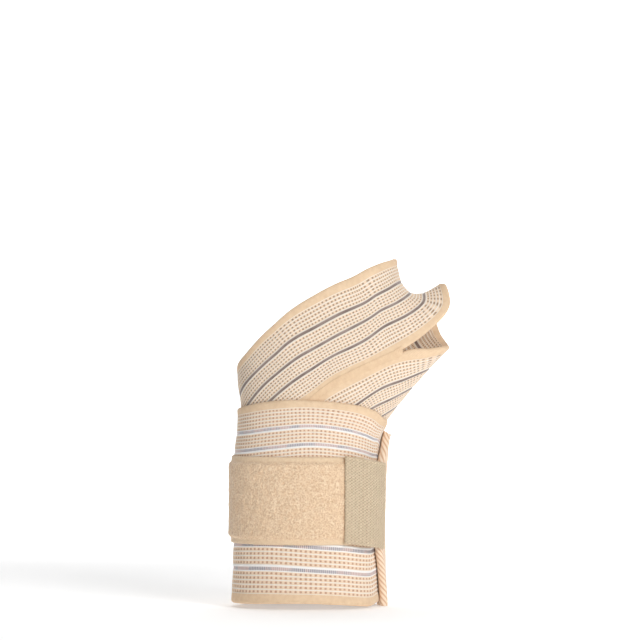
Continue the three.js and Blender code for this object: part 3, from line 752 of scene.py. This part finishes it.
class Nodes:
    """A material's nodes, added one by one."""

    def __init__(self, name, roughness, sheen=0.0):
        self.material = bpy.data.materials.new(name)
        self.material.use_nodes = True
        self.tree = self.material.node_tree
        self.shader = self.tree.nodes["Principled BSDF"]
        self.shader.inputs["Roughness"].default_value = roughness
        self.shader.inputs["Sheen Weight"].default_value = sheen
        self.shader.inputs["Sheen Roughness"].default_value = 0.5
        self.shader.inputs["Specular IOR Level"].default_value = 0.25

    def add(self, kind, **inputs):
        """A new node with sockets or values at its inputs, by their names."""
        node = self.tree.nodes.new(kind)
        for name, value in inputs.items():
            self.feed(node, name.replace("_", " "), value)
        return node

    def feed(self, node, name, value):
        """Links a socket to a node's input, or sets its value. A name of digits is a place."""
        socket = node.inputs[int(name)] if name.isdigit() else node.inputs[name]
        if isinstance(value, bpy.types.NodeSocket):
            self.tree.links.new(value, socket)
        else:
            socket.default_value = value

    def math(self, operation, first, second=0.0, third=0.0):
        """The outcome of one sum, with sockets or numbers."""
        node = self.tree.nodes.new("ShaderNodeMath")
        node.operation = operation
        for index, value in enumerate((first, second, third)):
            self.feed(node, str(index), value)
        return node.outputs[0]

    def weave(self):
        """The two coordinates of the weave map."""
        source = self.tree.nodes.new("ShaderNodeUVMap")
        source.uv_map = "weave"
        split = self.add("ShaderNodeSeparateXYZ", Vector=source.outputs[0])
        return split.outputs[0], split.outputs[1]

    def ramp(self, value, low, high):
        """0 below low and 1 above high, smooth between."""
        node = self.add("ShaderNodeMapRange")
        node.interpolation_type = "SMOOTHSTEP"
        self.feed(node, "Value", value)
        self.feed(node, "From Min", low)
        self.feed(node, "From Max", high)
        return node.outputs[0]

    def noise(self, scale, detail=3.0):
        """Noise over the piece's own coordinates, by metre."""
        place = self.tree.nodes.new("ShaderNodeTexCoord").outputs["Object"]
        return self.add("ShaderNodeTexNoise", Vector=place, Scale=scale, Detail=detail).outputs[0]

    def mix(self, share, first, second):
        """The first colour where share is 0 and the second where it is 1."""
        node = self.tree.nodes.new("ShaderNodeMix")
        node.data_type = "RGBA"
        self.feed(node, "0", share)
        self.feed(node, "6", first)
        self.feed(node, "7", second)
        return node.outputs[2]

    def finish(self, colour, height, distance, strength):
        """The material, with its colour and the bump of its finest relief."""
        bump = self.add("ShaderNodeBump", Height=height, Distance=distance, Strength=strength)
        self.feed(self.shader, "Base Color", colour)
        self.feed(self.shader, "Normal", bump.outputs[0])
        return self.material


def net_holes(m, along, across):
    """1 in each hole of the net, which is square with rounded corners and a little uneven."""
    cells = [m.math("SUBTRACT", m.math("FRACT", way), 0.5) for way in (along, across)]
    squares = [m.math("MULTIPLY", cell, cell) for cell in cells]
    fourths = m.math("ADD", *[m.math("MULTIPLY", square, square) for square in squares])
    around = m.math("SQRT", m.math("SQRT", fourths))
    wobble = m.math("SUBTRACT", m.noise(1000.0, 2.0), 0.5)
    around = m.math("ADD", around, m.math("MULTIPLY", wobble, 0.2))
    return m.math("SUBTRACT", 1.0, m.ramp(around, *HOLE_SHADE))


def net_colour(m, across, hole, cuff):
    """Cream threads, whiter between the rows of holes, and brown holes that are paler on the cuff:
    painted shade in the holes over the darker tan seen through them.
    """
    off_row = m.math("ABSOLUTE", m.math("SUBTRACT", m.math("FRACT", across), 0.5))
    lines = m.ramp(off_row, 0.3, 0.46)
    thread = m.mix(m.noise(800.0, 3.0), linear(238, 210, 180), linear(252, 232, 208))
    thread = m.mix(m.math("MULTIPLY", lines, 0.85), thread, linear(255, 253, 248))
    thread = m.mix(m.math("MULTIPLY", m.noise(70.0, 2.0), 0.25), thread, linear(240, 206, 176))
    # Painted shade in the holes: brown standing for the shade inside each hole together with the darker
    # tan seen through it, paler on the cuff.
    strap_hole_tan_and_shade = m.mix(m.noise(180.0, 2.0), linear(152, 126, 104), linear(198, 170, 144))
    cuff_hole_tan_and_shade = m.mix(m.noise(180.0, 2.0), linear(190, 146, 120), linear(220, 182, 156))
    return m.mix(hole, thread, m.mix(cuff, strap_hole_tan_and_shade, cuff_hole_tan_and_shade))


def selvage_colour(m, twill):
    """Tan, with a faint twill whose ridges carry a painted sheen."""
    colour = m.mix(m.noise(500.0, 4.0), linear(224, 188, 150), linear(252, 224, 190))
    # Painted sheen: lighter where the twill's ridges rise.
    sheen = m.math("MULTIPLY", m.ramp(twill, -1.0, 1.0), 0.2)
    return m.mix(sheen, colour, linear(255, 236, 208))


def stripe_colour(m, strip, ticks, cuff):
    """A grip strip between two cords: grey-brown on the strap, pale and ribbed on the cuff, with painted
    glints on both.
    """
    # Painted glints: noise that lightens the strap's strip in patches and lays bluish grey reflections on
    # the cuff's.
    glints = m.noise(140.0, 2.0)
    dark = m.mix(glints, linear(94, 76, 68), linear(184, 166, 156))
    pale = m.mix(m.ramp(glints, 0.4, 0.58), linear(158, 154, 162), linear(206, 176, 170))
    pale = m.mix(m.math("MULTIPLY", ticks, 0.55), pale, linear(244, 236, 232))
    cord = m.mix(cuff, linear(242, 230, 216), linear(255, 253, 250))
    return m.mix(strip, cord, m.mix(cuff, dark, pale))


def elastic_material():
    """Cream net with brown holes of painted shade over the darker tan seen through them, tan selvages,
    and grip stripes beside white cords.
    """
    m = Nodes("elastic", 0.85, sheen=0.15)
    along, across = m.weave()
    off = m.math("ABSOLUTE", m.math("SUBTRACT", across, PATTERN_MIDDLE))
    edge = PATTERN_MIDDLE - SELVAGE_STEPS
    selvage = m.ramp(off, edge - SELVAGE_BLUR, edge + SELVAGE_BLUR)
    off_outer = m.math("ABSOLUTE", m.math("SUBTRACT", off, STRIPE_STEPS))
    stripe = m.math("MAXIMUM", m.math("LESS_THAN", off_outer, 0.5), m.math("LESS_THAN", off, 0.5))
    net = m.math("MULTIPLY", m.math("SUBTRACT", 1.0, selvage), m.math("SUBTRACT", 1.0, stripe))
    # The holes' mask: it sinks them in the bump and paints them brown, painted shade together with the
    # tan seen through them.
    hole = m.math("MULTIPLY", net_holes(m, along, across), net)
    cuff = m.ramp(along, *CUFF_HOLES)

    twill = m.math("ADD", m.math("MULTIPLY", along, 2.0), m.math("MULTIPLY", across, 3.0))
    twill = m.math("SINE", m.math("MULTIPLY", twill, 2 * math.pi))
    ticks = m.ramp(m.math("SINE", m.math("MULTIPLY", along, 2 * math.pi * STRIP_TICKS)), -0.8, 0.8)
    inside = m.math("FRACT", across)
    near = m.math("MULTIPLY_ADD", cuff, 0.08, 0.2)
    far = m.math("MULTIPLY_ADD", cuff, 0.04, 0.76)
    begun = m.ramp(inside, near, m.math("ADD", near, 0.1))
    strip = m.math("SUBTRACT", begun, m.ramp(inside, far, m.math("ADD", far, 0.15)))

    colour = m.mix(selvage, net_colour(m, across, hole, cuff), selvage_colour(m, twill))
    colour = m.mix(stripe, colour, stripe_colour(m, strip, ticks, cuff))
    fibres = m.noise(2600.0, 2.0)
    height = m.math("ADD", fibres, m.math("MULTIPLY", m.math("MULTIPLY", twill, selvage), 0.35))
    height = m.math("ADD", height, m.math("MULTIPLY", m.math("MULTIPLY", ticks, stripe), 0.6))
    height = m.math("SUBTRACT", height, hole)
    gloss = m.math("MULTIPLY", stripe, strip)
    m.feed(m.shader, "Roughness", m.math("SUBTRACT", 0.88, m.math("MULTIPLY", gloss, 0.45)))
    return m.finish(colour, height, 0.0003, 0.5)


def pile_material():
    """Fuzzy tan loops, with a flat woven rim on each side."""
    m = Nodes("loop_pile", 0.97, sheen=0.4)
    along, across = m.weave()
    inside = m.math("MINIMUM", across, m.math("SUBTRACT", PAD_WIDTH, across))
    rim = m.math("SUBTRACT", 1.0, m.ramp(inside, PAD_RIM_WIDTH - 1.2, PAD_RIM_WIDTH + 0.4))
    tufts = m.ramp(m.noise(1300.0, 4.0), 0.25, 0.72)
    clouds = m.ramp(m.noise(240.0, 3.0), 0.35, 0.7)
    colour = m.mix(tufts, linear(216, 178, 142), linear(255, 230, 198))
    colour = m.mix(m.math("MULTIPLY", clouds, 0.3), colour, linear(236, 200, 162))
    rim_colour = m.mix(m.noise(900.0, 2.0), linear(226, 194, 158), linear(250, 226, 194))
    colour = m.mix(rim, colour, rim_colour)
    fuzz = m.noise(1900.0, 4.0)
    return m.finish(colour, m.math("ADD", fuzz, tufts), 0.0003, 0.6)


def seam_material():
    """Tan thread laid to and fro across the join."""
    m = Nodes("seam_thread", 0.85, sheen=0.15)
    along, across = m.weave()
    ribs = m.ramp(m.math("SINE", m.math("MULTIPLY", along, 2 * math.pi / SEAM_RIB)), -1.0, 1.0)
    colour = m.mix(m.noise(500.0, 4.0), linear(222, 184, 146), linear(248, 218, 182))
    colour = m.mix(m.math("MULTIPLY", ribs, 0.2), colour, linear(255, 236, 206))
    return m.finish(colour, m.math("ADD", ribs, m.noise(2400.0, 2.0)), 0.0002, 0.5)


def hook_material():
    """The beige back of hook tape: rows of small stitches between fine lines."""
    m = Nodes("hook_tape", 0.8, sheen=0.1)
    along, across = m.weave()
    rows = m.math("SINE", m.math("MULTIPLY", along, 2 * math.pi / TAB_ROWS))
    ticks = m.math("SINE", m.math("MULTIPLY", across, 2 * math.pi / TAB_TICKS))
    dents = m.ramp(m.math("MULTIPLY", rows, ticks), 0.1, 0.8)
    lines = m.ramp(rows, -1.0, -0.5)
    colour = m.mix(m.noise(600.0, 3.0), linear(202, 180, 150), linear(230, 210, 182))
    colour = m.mix(m.math("MULTIPLY", dents, 0.4), colour, linear(170, 148, 116))
    colour = m.mix(m.math("SUBTRACT", 0.3, m.math("MULTIPLY", lines, 0.3)), colour, linear(236, 222, 194))
    fibres = m.noise(2200.0, 2.0)
    height = m.math("SUBTRACT", fibres, m.math("MULTIPLY", dents, 1.5))
    return m.finish(colour, height, 0.0003, 0.7)


def binding_material():
    """Cream tape with slanted ribs, with painted shade in the troughs between them."""
    m = Nodes("binding", 0.85, sheen=0.15)
    girth, height_up = m.weave()
    slants = [m.math("MULTIPLY", *pair) for pair in zip((girth, height_up), BINDING_SLANT)]
    slant = m.math("ADD", *slants)
    ribs = m.math("COSINE", m.math("MULTIPLY", slant, 2 * math.pi / BINDING_RIB))
    # Painted shade: darker in the troughs between the ribs, lighter on their crests.
    shade = m.ramp(ribs, -1.0, 0.4)
    colour = m.mix(shade, linear(216, 176, 142), linear(255, 234, 212))
    colour = m.mix(m.math("MULTIPLY", m.noise(300.0), 0.4), colour, linear(240, 212, 180))
    return m.finish(colour, m.noise(2400.0, 2.0), 0.0002, 0.5)


def dress(piece, material):
    """Gives a piece its material, and lets it ride on the one body."""
    piece.data.materials.append(material)
    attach(piece, "root")


def paper_material():
    """White paper that glows more towards the wall, so that the background stays white."""
    paper = bpy.data.materials.new("paper")
    paper.use_nodes = True
    tree = paper.node_tree
    shader = tree.nodes["Principled BSDF"]
    shader.inputs["Base Color"].default_value = (0.93, 0.93, 0.93, 1)
    shader.inputs["Roughness"].default_value = 0.9
    shader.inputs["Emission Color"].default_value = (1, 1, 1, 1)
    place = tree.nodes.new("ShaderNodeTexCoord")
    split = tree.nodes.new("ShaderNodeSeparateXYZ")
    glow = tree.nodes.new("ShaderNodeMapRange")
    glow.inputs["From Min"].default_value = GLOW_REACH[0]
    glow.inputs["From Max"].default_value = GLOW_REACH[1]
    glow.inputs["To Min"].default_value = GLOW[0]
    glow.inputs["To Max"].default_value = GLOW[1]
    tree.links.new(place.outputs["Object"], split.inputs[0])
    tree.links.new(split.outputs["Y"], glow.inputs["Value"])
    tree.links.new(glow.outputs["Result"], shader.inputs["Emission Strength"])
    return paper


def build_floor():
    """A pale floor that sweeps up far behind the wrap."""
    bend = np.linspace(0.1, math.pi / 2, 12)
    profile = [(FLOOR_FRONT, FLOOR), (WALL - SWEEP, FLOOR)]
    profile += [(WALL - SWEEP * (1 - math.sin(a)), FLOOR + SWEEP * (1 - math.cos(a))) for a in bend]
    profile.append((WALL, WALL_HEIGHT))
    points = np.array([(x, y, z) for y, z in profile for x in (-FLOOR_SIDE, FLOOR_SIDE)]) / MM
    faces = [[2 * i, 2 * i + 1, 2 * i + 3, 2 * i + 2] for i in range(len(profile) - 1)]
    floor = make_mesh("floor", points, [np.array(faces)])
    floor.data.materials.append(paper_material())


def aim(thing, place, target):
    """Puts a light or the camera in its place, turned towards a target."""
    thing.location = place
    way = Vector(target) - Vector(place)
    thing.rotation_euler = way.to_track_quat("-Z", "Y").to_euler()


def build_lights():
    """Soft area lights in a dim white room."""
    scene = bpy.context.scene
    world = bpy.data.worlds.new("studio")
    scene.world = world
    world.use_nodes = True
    background = world.node_tree.nodes["Background"]
    background.inputs[0].default_value = (1, 1, 1, 1)
    background.inputs[1].default_value = ROOM_LIGHT
    for name, place, size, power in LIGHTS:
        light = bpy.data.lights.new(name, "AREA")
        light.size = size
        light.energy = power
        lamp = bpy.data.objects.new(name, light)
        scene.collection.objects.link(lamp)
        aim(lamp, place, LIGHTS_TARGET)
    scene.view_settings.view_transform = "Standard"
    scene.view_settings.look = "None"


def build_camera():
    """The camera at the photo's angle: level, and square to the front."""
    scene = bpy.context.scene
    camera = bpy.data.objects.new("camera", bpy.data.cameras.new("camera"))
    scene.collection.objects.link(camera)
    scene.camera = camera
    camera.data.sensor_width = SENSOR
    camera.data.lens = SENSOR * CAMERA_DISTANCE / (IMAGE_SIZE * PIXEL)
    camera.data.clip_end = 20
    centre = np.array([(IMAGE_SIZE / 2 - AXIS_COLUMN) * PIXEL, 0, (BASE_ROW - IMAGE_SIZE / 2) * PIXEL])
    aim(camera, centre + np.array([0, -CAMERA_DISTANCE, 0]), centre)


elastic = elastic_material()
upper, upper_length = build_band("upper_band_weave", upper_surface, 1, UPPER_PITCHES, UPPER_HIDDEN)
lower, lower_length = build_band("lower_band_weave", lower_surface, -1, LOWER_PITCHES, LOWER_HIDDEN)
dress(upper, elastic)
dress(lower, elastic)
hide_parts("upper_band")
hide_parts("lower_band")

seam = build_seam()
dress(seam, seam_material())

pad, pad_length = build_pad()
dress(pad, pile_material())
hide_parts("loop_pad")

tab, tab_length = build_tab()
dress(tab, hook_material())
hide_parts("hook_tab")

binding, binding_girth, binding_height = build_binding()
dress(binding, binding_material())
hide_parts("end_binding")

build_floor()
build_lights()
build_camera()
